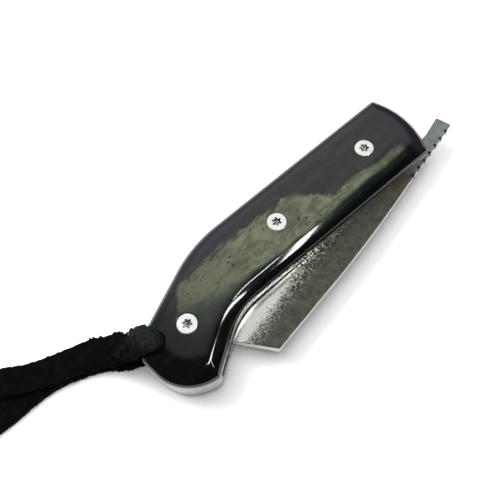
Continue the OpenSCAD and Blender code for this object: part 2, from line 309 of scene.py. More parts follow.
class Nodes:
    """Short calls for a material's node tree."""

    def __init__(self, name):
        self.material = bpy.data.materials.new(name)
        self.material.use_nodes = True
        self.tree = self.material.node_tree
        self.shader = self.tree.nodes["Principled BSDF"]
        self.place = self.add("ShaderNodeTexCoord").outputs["Object"]

    def add(self, kind, inputs=None, **settings):
        """A node with its input sockets filled or linked."""
        node = self.tree.nodes.new(kind)
        for key, value in settings.items():
            setattr(node, key, value)
        for key, value in (inputs or {}).items():
            self.put(node.inputs[key], value)
        return node

    def put(self, socket, value):
        if isinstance(value, bpy.types.NodeSocket):
            self.tree.links.new(value, socket)
        else:
            socket.default_value = value

    def scaled(self, per_metre):
        """The object's own coordinates, scaled alike or along each axis."""
        scale = (per_metre,) * 3 if isinstance(per_metre, (int, float)) else per_metre
        return self.add("ShaderNodeVectorMath", {0: self.place, 1: scale}, operation="MULTIPLY").outputs[0]

    def noise(self, per_metre, detail=3.0, roughness=0.5, distortion=0.0):
        return self.add("ShaderNodeTexNoise", {
            "Vector": self.scaled(per_metre), "Scale": 1.0, "Detail": detail,
            "Roughness": roughness, "Distortion": distortion}).outputs["Fac"]

    def spots(self, per_metre):
        """Distance from scattered points, in cells."""
        return self.add("ShaderNodeTexVoronoi", {
            "Vector": self.scaled(per_metre), "Scale": 1.0}, feature="F1").outputs["Distance"]

    def ramp(self, value, low, high, to_low=0.0, to_high=1.0):
        """Smooth step of a value between low and high."""
        return self.add("ShaderNodeMapRange", {
            "Value": value, "From Min": low, "From Max": high, "To Min": to_low, "To Max": to_high},
            interpolation_type="SMOOTHSTEP").outputs["Result"]

    def math(self, operation, a, b):
        return self.add("ShaderNodeMath", {0: a, 1: b}, operation=operation).outputs[0]

    def times(self, a, b):
        return self.math("MULTIPLY", a, b)

    def total(self, *parts):
        """Sum of two or more values."""
        result = parts[0]
        for part in parts[1:]:
            result = self.math("ADD", result, part)
        return result

    def mix(self, share, a, b):
        """Colour a where share is 0 and b where it is 1."""
        node = self.add("ShaderNodeMix", data_type="RGBA")
        for key, value in (("Factor", share), ("A", a), ("B", b)):
            socket = next(s for s in node.inputs
                          if s.name == key and (key == "Factor" or s.type == "RGBA"))
            self.put(socket, tuple(value) + (1.0,) if isinstance(value, tuple) else value)
        return next(s for s in node.outputs if s.type == "RGBA")

    def axis(self, name):
        return self.add("ShaderNodeSeparateXYZ", {0: self.place}).outputs[name]

    def bump(self, height, distance_mm, strength=1.0):
        return self.add("ShaderNodeBump", {
            "Height": height, "Distance": distance_mm * MM, "Strength": strength}).outputs["Normal"]

    def finish(self, **values):
        """The material, once the shader's sockets are filled or linked."""
        for key, value in values.items():
            socket = self.shader.inputs[key.replace("_", " ")]
            self.put(socket, tuple(value) + (1.0,) if isinstance(value, tuple) else value)
        return self.material


# Borders of the horn's pale figure, as steps [from x, to x, y or rise at first, y or rise at last] in metres
# that add up: the smooth one on the belly side and the ragged one on the back side
FIGURE_BELLY = [
    (-0.010, 0.035, 0.0096, 0.0058), (0.040, 0.062, 0.0, -0.0032), (0.060, 0.084, 0.0, -0.0070),
]
FIGURE_BACK = [
    (-0.005, 0.018, 0.0030, 0.0), (0.017, 0.030, 0.0040, -0.0068), (0.030, 0.062, 0.0, -0.0030),
    (0.070, 0.082, 0.0, 0.0085),
]
FIGURE_START = (-0.010, -0.005)
FIGURE_END = (0.086, 0.068)


def horn_material():
    """Polished buffalo horn: black, with a pale olive figure that drifts from the belly side to the back."""
    n = Nodes("horn")
    x, y = n.axis("X"), n.axis("Y")
    rag = n.times(n.math("SUBTRACT", n.noise((170, 420, 420), 6.0, 0.72, 0.8), 0.5), 0.0075)
    soft = n.times(n.math("SUBTRACT", n.noise((45, 60, 60), 2.0), 0.5), 0.004)
    wander = n.total(y, soft)
    belly_side = n.total(*[n.ramp(x, *step) for step in FIGURE_BELLY])
    back_side = n.total(*[n.ramp(x, *step) for step in FIGURE_BACK])
    back_rag = n.times(rag, n.ramp(x, -0.004, 0.018, 0.1, 1.0))
    inward = n.math("SUBTRACT", belly_side, wander)
    blur = n.ramp(x, 0.048, 0.074, 1.0, 6.0)
    in_belly = n.ramp(n.math("DIVIDE", inward, blur), -0.0006, 0.0009)
    in_back = n.ramp(n.math("SUBTRACT", n.total(wander, back_rag), back_side), -0.0006, 0.0010)
    ends = n.times(n.ramp(x, *FIGURE_START), n.ramp(n.total(x, rag), *FIGURE_END))
    figure = n.times(n.times(in_belly, in_back), ends)
    # The pale figure: clouded olive with fine light fibres, going dark and blotched toward the butt
    cloud = n.noise((200, 330, 330), 6.0, 0.68, 0.45)
    grain = n.noise((60, 420, 420), 5.0, 0.65, 0.4)
    fine = n.noise((1100, 2300, 2300), 4.0, 0.7, 0.3)
    pale = n.mix(n.ramp(cloud, 0.36, 0.66), (0.040, 0.047, 0.029), (0.098, 0.106, 0.066))
    pale = n.mix(n.times(n.ramp(fine, 0.5, 0.72), 0.3), pale, (0.115, 0.12, 0.08))
    pale = n.mix(n.times(n.ramp(grain, 0.55, 0.70), 0.5), pale, (0.026, 0.030, 0.020))
    blotch = n.times(n.ramp(cloud, 0.50, 0.60), n.ramp(x, 0.050, 0.072))
    pale = n.mix(n.times(blotch, 0.8), pale, (0.012, 0.018, 0.013))
    # The dark horn round it: grey green in the middle, painted shade darkening it to black by the belly and
    # the butt, and a painted purple reflection along the back and across the pivot end
    middle = n.mix(n.ramp(cloud, 0.35, 0.7), (0.0085, 0.0105, 0.0080), (0.0165, 0.0190, 0.0140))
    painted_shade_black = n.mix(n.ramp(grain, 0.4, 0.75), (0.0012, 0.0013, 0.0012), (0.0035, 0.004, 0.0035))
    plain = n.mix(n.ramp(y, 0.0075, 0.0035), painted_shade_black, middle)
    plain = n.mix(n.ramp(x, 0.070, 0.082), plain, painted_shade_black)
    # Painted reflection: a purple grey band along the back edge and across the pivot end
    plain = n.mix(n.times(n.ramp(wander, -0.0085, -0.0115), 0.9), plain, (0.013, 0.011, 0.015))
    plain = n.mix(n.times(n.ramp(x, -0.0085, -0.0115), 0.9), plain, (0.012, 0.010, 0.014))
    fringe = n.times(n.times(n.ramp(inward, -0.0030, -0.0003), in_back), ends)
    plain = n.mix(n.times(fringe, 0.9), plain, (0.0075, 0.0130, 0.0110))
    colour = n.mix(figure, plain, pale)
    # Small pale flecks and dark pits
    flecks = n.times(n.ramp(n.spots(430), 0.09, 0.04), n.ramp(n.noise(130, 2.0), 0.6, 0.66))
    colour = n.mix(n.times(flecks, 0.6), colour, (0.26, 0.26, 0.22))
    pits = n.times(n.ramp(n.spots((420, 800, 800)), 0.28, 0.14), n.ramp(n.noise(150, 3.0), 0.54, 0.60))
    pits = n.times(pits, n.ramp(figure, 0.2, 1.0, 0.2, 1.0))
    colour = n.mix(pits, colour, (0.004, 0.004, 0.003))
    height = n.total(n.times(pits, -1.0), n.times(n.noise(700, 2.0), 0.05))
    gloss = n.ramp(cloud, 0.3, 0.8, 0.05, 0.11)
    return n.finish(Base_Color=colour, Roughness=gloss, Normal=n.bump(height, 0.06, 0.6), IOR=1.52)


def steel_material(name, colour, rough, line_scale, spread=0.12, line_depth=0.004, metal=1.0):
    """Worked metal: fine lines in one direction and a slight change of tone."""
    n = Nodes(name)
    lines = n.noise(line_scale, 4.0, 0.7)
    dark = tuple(c * 0.78 for c in colour)
    base = n.mix(n.ramp(n.noise(180, 3.0), 0.3, 0.7), dark, colour)
    gloss = n.ramp(lines, 0.3, 0.7, rough - spread, rough + spread)
    return n.finish(Base_Color=base, Metallic=metal, Roughness=gloss, Normal=n.bump(lines, line_depth))


def edge_height(n):
    """Height of the shaded point above the blade's cutting edge, in metres."""
    above = n.add("ShaderNodeVectorMath", {0: n.place, 1: (-EDGE_ALONG[1], EDGE_ALONG[0], 0.0)},
                  operation="DOT_PRODUCT").outputs["Value"]
    return n.math("SUBTRACT", above, (EDGE_START[1] * EDGE_ALONG[0] - EDGE_START[0] * EDGE_ALONG[1]) * MM)


def blade_material():
    """Forge-dark flats with fine scale, and a bright ground bevel with a speckled border between them."""
    n = Nodes("blade_steel")
    height = edge_height(n)
    x = n.axis("X")
    grit = n.times(n.math("SUBTRACT", n.noise(2600, 3.0, 0.8), 0.5), 0.020)
    drift = n.times(n.math("SUBTRACT", n.noise(260, 4.0, 0.7), 0.5), 0.0036)
    ragged = n.total(height, grit, drift, n.ramp(x, 0.030, 0.062, 0.0022, 0.0))
    ground = n.ramp(ragged, (BEVEL_H + 1.6) * MM, (BEVEL_H + 1.0) * MM)
    ground = n.times(ground, n.ramp(x, -0.002, 0.004))
    # Forged skin: mottled olive, with black dots and painted glints (bright specks painted into the colour)
    # near the bevel, and a trace of rust
    mottle = n.noise(520, 5.0, 0.72, 0.4)
    fine = n.noise(3200, 3.0, 0.75)
    skin = n.mix(n.ramp(mottle, 0.3, 0.7), (0.030, 0.031, 0.022), (0.072, 0.072, 0.053))
    skin = n.mix(n.times(n.ramp(fine, 0.48, 0.62), 0.55), skin, (0.035, 0.035, 0.026))
    skin = n.mix(n.times(n.ramp(fine, 0.60, 0.72), 0.4), skin, (0.30, 0.29, 0.24))
    near = n.ramp(height, (BEVEL_H + 5.0) * MM, (BEVEL_H + 0.5) * MM)
    speckle = n.noise(1900, 2.0, 0.7)
    skin = n.mix(n.times(n.times(n.ramp(speckle, 0.53, 0.46), near), 0.95), skin, (0.006, 0.006, 0.004))
    # Painted highlight: bright glint specks near the bevel
    skin = n.mix(n.times(n.times(n.ramp(speckle, 0.56, 0.62), near), 0.8), skin, (0.60, 0.58, 0.48))
    skin = n.mix(n.times(n.ramp(n.noise(85, 3.0), 0.60, 0.72), 0.2), skin, (0.15, 0.075, 0.035))
    # The lever is smoother and greyer
    grey = n.mix(n.ramp(mottle, 0.3, 0.7), (0.13, 0.15, 0.135), (0.21, 0.235, 0.215))
    skin = n.mix(n.ramp(x, -0.004, -0.010), skin, grey)
    lines = n.noise((120, 3600, 3600), 4.0, 0.7)
    bright = n.mix(n.ramp(lines, 0.35, 0.62), (0.80, 0.79, 0.70), (0.97, 0.96, 0.88))
    colour = n.mix(ground, skin, bright)
    metal = n.ramp(ground, 0.0, 1.0, 0.55, 1.0)
    gloss = n.ramp(ground, 0.0, 1.0, 0.42, 0.22)
    hollow = n.total(n.times(mottle, 0.8), n.times(fine, 0.5))
    relief = n.times(hollow, n.ramp(ground, 0.0, 1.0, 1.0, 0.03))
    return n.finish(Base_Color=colour, Metallic=metal, Roughness=gloss, Normal=n.bump(relief, 0.07, 0.8))


def leather_material():
    """Black suede lace: napped and nearly matt, creased, and lighter by the hole, partly dust and partly a
    painted sheen.
    """
    n = Nodes("lace_leather")
    nap = n.noise(2600, 5.0, 0.75, 0.4)
    worn = n.noise(330, 4.0, 0.6)
    creases = n.noise((1500, 700, 900), 5.0, 0.7, 0.3)
    colour = n.mix(n.ramp(worn, 0.35, 0.75), (0.0010, 0.0011, 0.0014), (0.0028, 0.0031, 0.0040))
    colour = n.mix(n.times(n.ramp(nap, 0.58, 0.8), 0.5), colour, (0.012, 0.013, 0.016))
    # Dust and painted sheen: lighter greenish grey on the rolled start by the hole
    dust_and_sheen = n.times(n.ramp(n.axis("X"), 0.0925, 0.0885), n.ramp(creases, 0.25, 0.75))
    colour = n.mix(n.times(dust_and_sheen, 0.75), colour, (0.020, 0.025, 0.022))
    height = n.total(n.times(nap, 0.5), n.times(creases, 0.8))
    gloss = n.ramp(worn, 0.3, 0.7, 0.60, 0.85)
    return n.finish(Base_Color=colour, Roughness=gloss, Normal=n.bump(height, 0.20),
                    Specular_IOR_Level=0.05)


def floor_material():
    """Matt white sweep with a barely visible change of tone."""
    n = Nodes("floor")
    tone = n.mix(n.ramp(n.noise(30, 2.0), 0.3, 0.7), (0.86, 0.86, 0.865), (0.88, 0.88, 0.885))
    return n.finish(Base_Color=tone, Roughness=0.9, Specular_IOR_Level=0.1)


# ---------------------------------------------------------------- lace

def smooth_route(route, step):
    """Points of a Catmull-Rom curve through the route, about one step apart."""
    r = np.array(route, float)
    r = np.vstack([2 * r[0] - r[1], r, 2 * r[-1] - r[-2]])
    out = []
    for i in range(1, len(r) - 2):
        p0, p1, p2, p3 = r[i - 1:i + 3]
        count = max(2, round(float(np.linalg.norm((p2 - p1)[:3])) / step))
        for k in range(count):
            t = k / count
            out.append(0.5 * (2 * p1 + (p2 - p0) * t + (2 * p0 - 5 * p1 + 4 * p2 - p3) * t * t
                              + (3 * p1 - p0 - 3 * p2 + p3) * t ** 3))
    out.append(r[-2])
    return np.array(out)


def lace_frames(points):
    """Along, side and up directions at each point of a flat lace whose width lies level."""
    frames = []
    for i in range(len(points)):
        a, b = points[max(i - 1, 0)][:3], points[min(i + 1, len(points) - 1)][:3]
        along = unit(b - a)
        side = unit([-along[1], along[0], 0])
        frames.append((along, side, np.cross(along, side)))
    return frames


# Section of the flat lace, [across, up] as shares of its width and thickness, with curled cut edges
LACE_SHAPE = [
    (-0.5, -0.30), (-0.485, -0.46), (-0.40, -0.5), (-0.2, -0.5), (0, -0.5), (0.2, -0.5), (0.40, -0.5),
    (0.485, -0.46), (0.5, -0.30), (0.5, 0.0), (0.5, 0.28), (0.475, 0.42), (0.43, 0.40), (0.38, 0.43),
    (0.25, 0.48), (0.12, 0.5), (0, 0.5), (-0.12, 0.5), (-0.25, 0.48), (-0.38, 0.43), (-0.43, 0.40),
    (-0.475, 0.42), (-0.5, 0.28), (-0.5, 0.0),
]


def lace_wear(travelled, rag):
    """How ragged and crumpled the lace is: worn rough by the hole, cleaner further along."""
    return rag * (0.3 + 0.7 * min(1.0, max(0.0, (ROUGH_END - travelled) / ROUGH_FADE)))


def lace_ring(centre, side, up, w, t, roll, seed, rag):
    """One section of the lace, from flat with square cut edges (roll 0) to rolled up round (roll 1)."""
    ring = []
    for k, (s, u) in enumerate(LACE_SHAPE):
        edge = max(0.0, abs(s) - 0.3) / 0.2
        turn = math.atan2(u, s)
        s, u = s + (0.5 * math.cos(turn) - s) * roll, u + (0.5 * math.sin(turn) - u) * roll
        rough = noise(Vector((seed * 0.55, k * 0.31, 3.7))) * rag * edge
        rough += noise(Vector((seed * 2.1, k * 0.9, 8.2))) * rag * 0.9 * edge
        across = s * w + (math.copysign(rough, s) if s else 0)
        lift = noise(Vector((seed * 0.16, s * 3.5, 9.1))) * 0.32 * (1 - roll)
        lift += noise(Vector((seed * 1.3, s * 6, 5.5))) * 0.10
        if u > 0:
            lift += abs(noise(Vector((seed * 0.8, s * 4, 2.5)))) * 1.1 * rag * (1 - roll)
        ring.append(centre + side * across + up * (u * t + lift))
    return ring


def make_lace(name, node, route, material, rag, seed, swell):
    """One tail of the lace: a ragged flat strap with loose fibres, its start rolled up where swell is 1."""
    points = smooth_route(route, LACE_STEP)
    frames = lace_frames(points)
    gaps = np.linalg.norm(np.diff(points[:, :3], axis=0), axis=1)
    travelled = np.concatenate([[0], np.cumsum(gaps)])
    rings = []
    for i, (p, (_, side, up)) in enumerate(zip(points, frames)):
        end = min(1.0, 0.35 + 0.65 * min(i, len(points) - 1 - i) / 4)
        fat = swell * max(0.0, 1 - (travelled[i] / ROLL_LENGTH) ** 3)
        ridge = fat * 0.13 * math.sin(travelled[i] * 5.4 + 0.8 * noise(Vector((travelled[i], 0, 1))))
        taper = 0.55 + 0.45 * end if swell else 1
        w = (LACE_W * p[3] - LACE_EDGE_LOSS) * (1 + 0.15 * fat) * taper + ridge
        t = (LACE_T * p[4] + ROLL_THICKER * fat) * end - LACE_FACE_LOSS + ridge
        lean = swell * 0.45 * math.exp(-((travelled[i] - 15) / 3.2) ** 2)
        cos, sin = math.cos(lean), math.sin(lean)
        side, up = side * cos + up * sin, up * cos - side * sin
        wear = lace_wear(travelled[i], rag) * (1 - 0.7 * fat)
        centre = p[:3] + up * 0.9 * fat
        rings.append(lace_ring(centre, side, up, w, t, 0.75 * fat, i * LACE_STEP + seed, wear))
    for ring in rings:
        for place in ring:
            place[2] = max(place[2], LACE_LOW)
    tail = make_mesh(name, *loft(rings))
    settle(tail, material, "handle", sharp=70, replaces=[node])
    fibres = lace_fibres(name + "_fibres", points, frames, rag, material)
    centre = points[:, :3] * MM


def lace_fibres(name, points, frames, rag, material):
    """Loose suede fibres that stand out of both cut edges, each a thin bent spike."""
    lowest = 0.12
    verts, faces = [], []
    for i in range(6, len(points) - 1):
        along, side, up = frames[i]
        wear = lace_wear(i * LACE_STEP, rag)
        for _ in range(int(2 + 9 * wear)):
            hand = random.choice((-1, 1))
            root = (points[i][:3] + along * random.uniform(-0.3, 0.3)
                    + side * hand * (LACE_W * points[i][3] / 2 - random.uniform(0.25, 0.45))
                    + up * random.uniform(-0.3, 0.36) * LACE_T * points[i][4])
            reach = random.uniform(0.2, 0.45 + 0.45 * wear)
            lean = along * random.uniform(-0.9, 0.9) + up * random.uniform(-0.25, 0.35)
            tip = root + side * hand * reach + lean * reach
            bend = (root + tip) / 2 + up * random.uniform(-0.1, 0.15)
            tip[2] = max(tip[2], lowest)
            bend[2] = max(bend[2], lowest)
            base = len(verts)
            thick = random.uniform(0.05, 0.09 + 0.06 * wear)
            for centre, r in ((root, thick), (bend, thick * 0.8)):
                behind = centre - along * r * 0.5
                verts += [centre + along * r, behind + up * r, behind - up * r]
            verts.append(tip)
            faces += [(base + k, base + (k + 1) % 3, base + 3 + (k + 1) % 3, base + 3 + k) for k in range(3)]
            faces += [(base + 3 + k, base + 3 + (k + 1) % 3, base + 6) for k in range(3)]
            faces.append((base + 2, base + 1, base))
    fibres = make_mesh(name, verts, faces)
    return settle(fibres, material, "handle", sharp=180)


# The lace gathered in the hole, as [radius, z] from the far end up to its domed top, and its largest radius
BUNDLE_PROFILE = [
    (0.6, 1.3), (2.2, 1.35), (2.62, 1.9), (2.66, 5.0), (2.66, 9.0), (2.64, 12.5), (2.66, 13.7),
    (2.72, 14.2), (2.66, 14.7), (2.3, 15.1), (1.5, 15.35), (0.5, 15.4),
]
BUNDLE_R = 2.72


def make_lace_bundle(material):
    """The lace where it is gathered through the hole: a round bundle with lengthwise folds."""
    turns = [i * 2 * math.pi / 56 for i in range(56)]
    rings = []
    for r, z in BUNDLE_PROFILE:
        ring = []
        for a in turns:
            fold = 0.10 * math.cos(7 * a + 0.25 * z) + 0.06 * math.cos(17 * a - 0.4 * z)
            radius = min(r * (1 + 0.5 * fold * min(1, r / 2)) - 0.03, BUNDLE_R)
            ring.append([HOLE[0] + radius * math.cos(a), HOLE[1] + radius * math.sin(a), z])
        rings.append(ring)
    bundle = make_mesh("lanyard_bundle", *loft(rings))
    settle(bundle, material, "handle", sharp=60, replaces=["lanyard_in_hole"])


# ---------------------------------------------------------------- scales, liners, spacer

def bore_tool(centre, radius, z0, z1, flare=0.0, n=72):
    """A cutter for a hole through z0 to z1, opened out by a small flare at the top."""
    profile = [(radius, z0), (radius, z1 - flare)]
    if flare:
        profile += [(radius + flare * (1 - math.cos(a)), z1 - flare + flare * math.sin(a))
                    for a in (math.radians(t) for t in (20, 40, 60, 80))]
    profile.append((radius + flare * 1.2, z1 + 1.0))
    return turned("tool", centre, profile, n)


def scale_tools():
    """Cutters for a scale's counterbored screw holes and its lanyard hole."""
    tools = []
    for centre in (PIVOT, MID, REAR):
        tools.append(bore_tool(centre, SHANK_R + FIT_GAP, -1, scale_t, n=40))
        tools.append(bore_tool(centre, COUNTERBORE_R, scale_t - HEAD_H, scale_t, flare=0.14))
    tools.append(bore_tool(HOLE, HOLE_R, -1, scale_t - 0.5))
    return tools


def make_scale(name, node, material, z, flipped):
    """A horn scale: vertical wall, elliptical round-over of its own width on each edge, flat top, bored."""
    rings = [straight_ring(0.0, 0.0), straight_ring(0.0, SCALE_WALL * 0.5)]
    for step in range(0, 91, 5):
        a = math.radians(step)
        inset = ROUNDS * (1 - math.cos(a))
        rings.append(handle_ring(inset, SCALE_WALL + (scale_t - SCALE_WALL) * math.sin(a)))
    rings.append(handle_ring(ROUNDS + 0.3, scale_t))
    piece = make_mesh(name, *loft(rings))
    cut(piece, scale_tools())
    points = np.array([v.co for v in piece.data.vertices])
    if flipped:
        points[:, 2] = (z + scale_t) * MM - points[:, 2]
    else:
        points[:, 2] += z * MM
    piece.data.vertices.foreach_set("co", points.astype(np.float32).ravel())
    settle(piece, material, "handle", sharp=38, replaces=[node])
    weighted = piece.modifiers.new("weighted", "WEIGHTED_NORMAL")
    weighted.keep_sharp = True
    weighted.weight = 80


def straight_ring(inset, z):
    """The handle's outline at height z, moved inward alike on every edge."""
    return handle_ring(ROUNDS * 0 + inset, z)


def chamfered_slab(name, z0, z1, chamfer):
    """A plate of the handle's outline, with small chamfers at both faces."""
    rings = [straight_ring(inset, z) for inset, z in (
        (chamfer, z0), (0.0, z0 + chamfer), (0.0, z1 - chamfer), (chamfer, z1))]
    return make_mesh(name, *loft(rings))


def make_liner(name, node, material, z0, z1):
    """A steel liner from z0 to z1, bored for the barrels, dowels, stop pin and lace."""
    piece = chamfered_slab(name, z0, z1, LINER_CHAMFER)
    tools = [bore_tool(c, BARREL_R + FIT_GAP, z0 - 1, z1) for c in (PIVOT, MID, REAR)]
    tools += [bore_tool(c, DOWEL_R + FIT_GAP, z0 - 1, z1, n=32) for c in DOWELS]
    tools += [bore_tool(STOP, STOP_R + FIT_GAP, z0 - 1, z1, n=40), bore_tool(HOLE, HOLE_R, z0 - 1, z1)]
    cut(piece, tools)
    settle(piece, material, "handle", sharp=30, replaces=[node])


# Inner edge of the spacer: corners [x, y, radius] from its front end round to the belly side of the butt, the
# steps of each arc, and the points that its first and last edges come from and run to, outside the handle
SPACER_INNER = [
    [31, -10.2, 0.5], [66, -10.4, 5], [70.6, -4, 3], [72.4, 3, 2.5], [81.4, 3.6, 4], [80.2, 15, 1],
]
SPACER_STEPS = [6, 10, 10, 12, 14, 6]
SPACER_FROM = np.array([31.0, -40.0])
SPACER_TO = np.array([79.6, 40.0])


def make_spacer(material):
    """Spacer along the back and round the butt, flush with the liners."""
    z0, z1 = slot_z, near_liner_z
    piece = chamfered_slab("back_spacer_body", z0, z1, SPACER_CHAMFER)
    inner = rounded(SPACER_INNER, SPACER_STEPS, SPACER_FROM, SPACER_TO)
    mask = np.vstack([SPACER_FROM, inner, SPACER_TO, [120, 40], [120, -40]])
    rings = [np.column_stack([mask, np.full(len(mask), z)]) for z in (z0 - 1, z1 + 1)]
    cut(piece, [make_mesh("tool", *loft(rings))], "INTERSECT")
    tools = [bore_tool(REAR, BARREL_R + FIT_GAP, z0 - 1, z1), bore_tool(HOLE, HOLE_R, z0 - 1, z1)]
    tools += [bore_tool(c, DOWEL_R + FIT_GAP, z0 - 1, z1, n=32) for c in DOWELS]
    cut(piece, tools)
    settle(piece, material, "handle", sharp=30, replaces=["back_spacer"])


# ---------------------------------------------------------------- screws

# Rings up the outside of a screw, [radius, z] with the top of its head at z = 0, and rings down its six-lobe
# recess, [z, growth of the outline]
SCREW_RINGS = [
    (0.9, -SHANK_END), (SHANK_R, -SHANK_END + 0.3), (SHANK_R, -HEAD_H), (HEAD_R - 0.1, -HEAD_H),
    (HEAD_R, -HEAD_H + 0.1), (HEAD_R, -0.22), (HEAD_R - 0.02, -0.14), (HEAD_R - 0.07, -0.07),
    (HEAD_R - 0.14, -0.02), (HEAD_R - 0.22, 0.0), (HEAD_R - 0.4, 0.0), (HEAD_R - 1.1, 0.0),
]
RECESS_RINGS = [
    (0.0, 0.10), (-0.02, 0.05), (-0.07, 0.015), (-0.15, 0.0), (-1.15, 0.0), (-1.2, -0.05), (-1.3, -0.35),
]
SCREW_SIDES = 120


def lobe_ring(z, grow, n):
    """The six-lobe recess outline, grown outward by grow."""
    turn = np.arange(n) * 2 * math.pi / n
    radius = 1.22 + 0.27 * np.cos(6 * turn) + 0.02 * np.cos(12 * turn) + grow
    return np.column_stack([radius * np.cos(turn), radius * np.sin(turn), np.full(n, z)])


def make_screw(name, node, material, recess, at, near):
    """Flat-headed screw at one of the three places, its head in the near or the far scale."""
    rings = [circle_ring((0.0, 0.0), r, z, SCREW_SIDES) for r, z in SCREW_RINGS]
    rings += [lobe_ring(z, grow, SCREW_SIDES) for z, grow in RECESS_RINGS]
    points, faces = loft(rings)
    spin = random.uniform(0, math.pi / 3)
    cos, sin = math.cos(spin), math.sin(spin)
    points = points @ np.array([[cos, sin, 0], [-sin, cos, 0], [0, 0, 1]])
    face_z = top_z if near else 0.0
    points = points * [1, 1, 1 if near else -1] + [at[0], at[1], face_z]
    piece = make_mesh(name, points, faces)
    settle(piece, material, "handle", sharp=25, replaces=[node])

    def in_recess(middle, _):
        from_axis = math.hypot(middle.x - at[0], middle.y - at[1])
        return int(from_axis < 1.7 and 0.05 < abs(middle.z - face_z) < 1.5)

    # Painted shade: the recess faces take the darker recess steel
    paint(piece, [material, recess], in_recess)


# ---------------------------------------------------------------- blade

# The cutting edge runs straight from the choil to the tip, under a bevel BEVEL_H high
EDGE_START = (15.5, -2.2)
TIP = (75.3, 4.9)
EDGE_ALONG = unit(np.array(TIP) - np.array(EDGE_START))
EDGE_NORMAL = np.array([-EDGE_ALONG[1], EDGE_ALONG[0]])
BEVEL_H = 10.0
EDGE_T = 0.4
TANG_R = 7.0
KICK_Y = STOP[1] + STOP_R + 0.1
LEVER_INNER = np.array([-27.9, 8.1])
LEVER_SLOPE = math.radians(11)
LEVER_FILLET = 12.0
# Corners of the blade, [x, y, radius], from its kick round by the edge, tip and spine to inside the lever
BLADE_CORNERS = [
    [12.3, KICK_Y, 0.5], [13.6, -0.4, 0.8], [EDGE_START[0], EDGE_START[1], 0.3], [TIP[0], TIP[1], 0.4],
    [64.3, 22.4, 0.5], [23, 19.9, 450], [-3, 16.4, 30], [-28.7, 13.3, 0.6],
    [LEVER_INNER[0], LEVER_INNER[1], 0.6],
]
BLADE_STEPS = [6, 8, 4, 6, 6, 60, 14, 8, 8]
# Grip notches, from the lever's end along its back
NOTCHES = 7
NOTCH_FIRST = (-25.6, 13.67)
NOTCH_PITCH = 3.4
NOTCH_SLOPE = math.radians(6.9)
NOTCH_W = 1.0
NOTCH_D = 0.8
NOTCH_EASE = 0.25
# The eased edge of its faces, the longest step along its wall, and the grid of its faces: the spacing, the
# rise from row to row as a share of that, and the gap to the outline
BLADE_CHAMFER = 0.13
WALL_STEP = 0.45
FACE_STEP = 0.42
ROW_RISE = 0.866
GRID_CLEAR = 0.22


def blade_outline():
    """Outline of the blade, tang and lever, counter-clockwise from the kick, with the grip notches cut in."""
    normal = np.array([math.sin(LEVER_SLOPE), -math.cos(LEVER_SLOPE)])
    along = np.array([math.cos(LEVER_SLOPE), math.sin(LEVER_SLOPE)])
    off = float(-LEVER_INNER @ normal)
    reach = LEVER_FILLET + TANG_R
    centre = -normal * (off - LEVER_FILLET) - along * math.sqrt(reach ** 2 - (off - LEVER_FILLET) ** 2)
    meets = math.atan2(-centre[1], -centre[0])
    first = math.pi / 2 + LEVER_SLOPE
    hollow = [centre + LEVER_FILLET * np.array([math.cos(a), math.sin(a)])
              for a in np.linspace(first, meets, 33)]
    kick = math.asin(KICK_Y / TANG_R)
    tang = [TANG_R * np.array([math.cos(a), math.sin(a)])
            for a in np.linspace(meets + math.pi, kick + 2 * math.pi, 65)[1:]]
    arcs = rounded(BLADE_CORNERS, BLADE_STEPS, tang[-1], hollow[0])
    back = next(i for i in range(len(arcs) - 1) if arcs[i][0] > -5 and arcs[i + 1][0] < -25)
    slope = np.array([math.cos(NOTCH_SLOPE), math.sin(NOTCH_SLOPE)])
    out = np.array([-slope[1], slope[0]])
    cuts = []
    for k in reversed(range(NOTCHES)):
        middle = np.array(NOTCH_FIRST) + slope * NOTCH_PITCH * k
        side = slope * NOTCH_W / 2
        wall, floor = out * (NOTCH_D - NOTCH_EASE), out * NOTCH_D
        cuts += [middle + side, middle + side - wall, middle + side * 0.6 - floor,
                 middle - side * 0.6 - floor, middle - side - wall, middle - side]
    return np.vstack([arcs[:back + 1], cuts, arcs[back + 1:], hollow[1:], tang])


def spaced(loop, longest):
    """The closed loop with its long edges divided."""
    out = []
    for a, b in zip(loop, np.roll(loop, -1, axis=0)):
        count = max(1, math.ceil(float(np.linalg.norm(b - a)) / longest))
        out += [a + (b - a) * k / count for k in range(count)]
    return np.array(out)


def shrunk(loop, inset):
    """The closed loop moved inward at each point."""
    ahead = np.roll(loop, -1, axis=0) - loop
    ahead /= np.linalg.norm(ahead, axis=1)[:, None]
    behind = np.roll(ahead, 1, axis=0)
    normal = np.column_stack([-ahead[:, 1] - behind[:, 1], ahead[:, 0] + behind[:, 0]])
    normal /= np.maximum((1 + (ahead * behind).sum(axis=1)), 0.6)[:, None]
    return loop + normal * inset


def inside(points, loop):
    """Which points lie inside the closed loop."""
    hit = np.zeros(len(points), bool)
    for (x0, y0), (x1, y1) in zip(loop, np.roll(loop, -1, axis=0)):
        spans = (y0 > points[:, 1]) != (y1 > points[:, 1])
        with np.errstate(divide="ignore", invalid="ignore"):
            cross = x0 + (points[:, 1] - y0) * (x1 - x0) / (y1 - y0)
        hit ^= spans & (points[:, 0] < cross)
    return hit


def half_thickness(points):
    """Half the blade's thickness at each point, the bevel run out by the choil, and height over the edge."""
    from_edge = points - np.array(EDGE_START)
    along = from_edge @ EDGE_ALONG
    height = from_edge @ EDGE_NORMAL
    slope = (blade_t - EDGE_T) / 2 / BEVEL_H
    ground = np.clip(EDGE_T / 2 + slope * height, EDGE_T / 2, blade_t / 2)
    plunge = np.clip((along - 0.6) / 2.2, 0, 1)
    plunge = plunge * plunge * (3 - 2 * plunge)
    return blade_t / 2 + (ground - blade_t / 2) * plunge, height


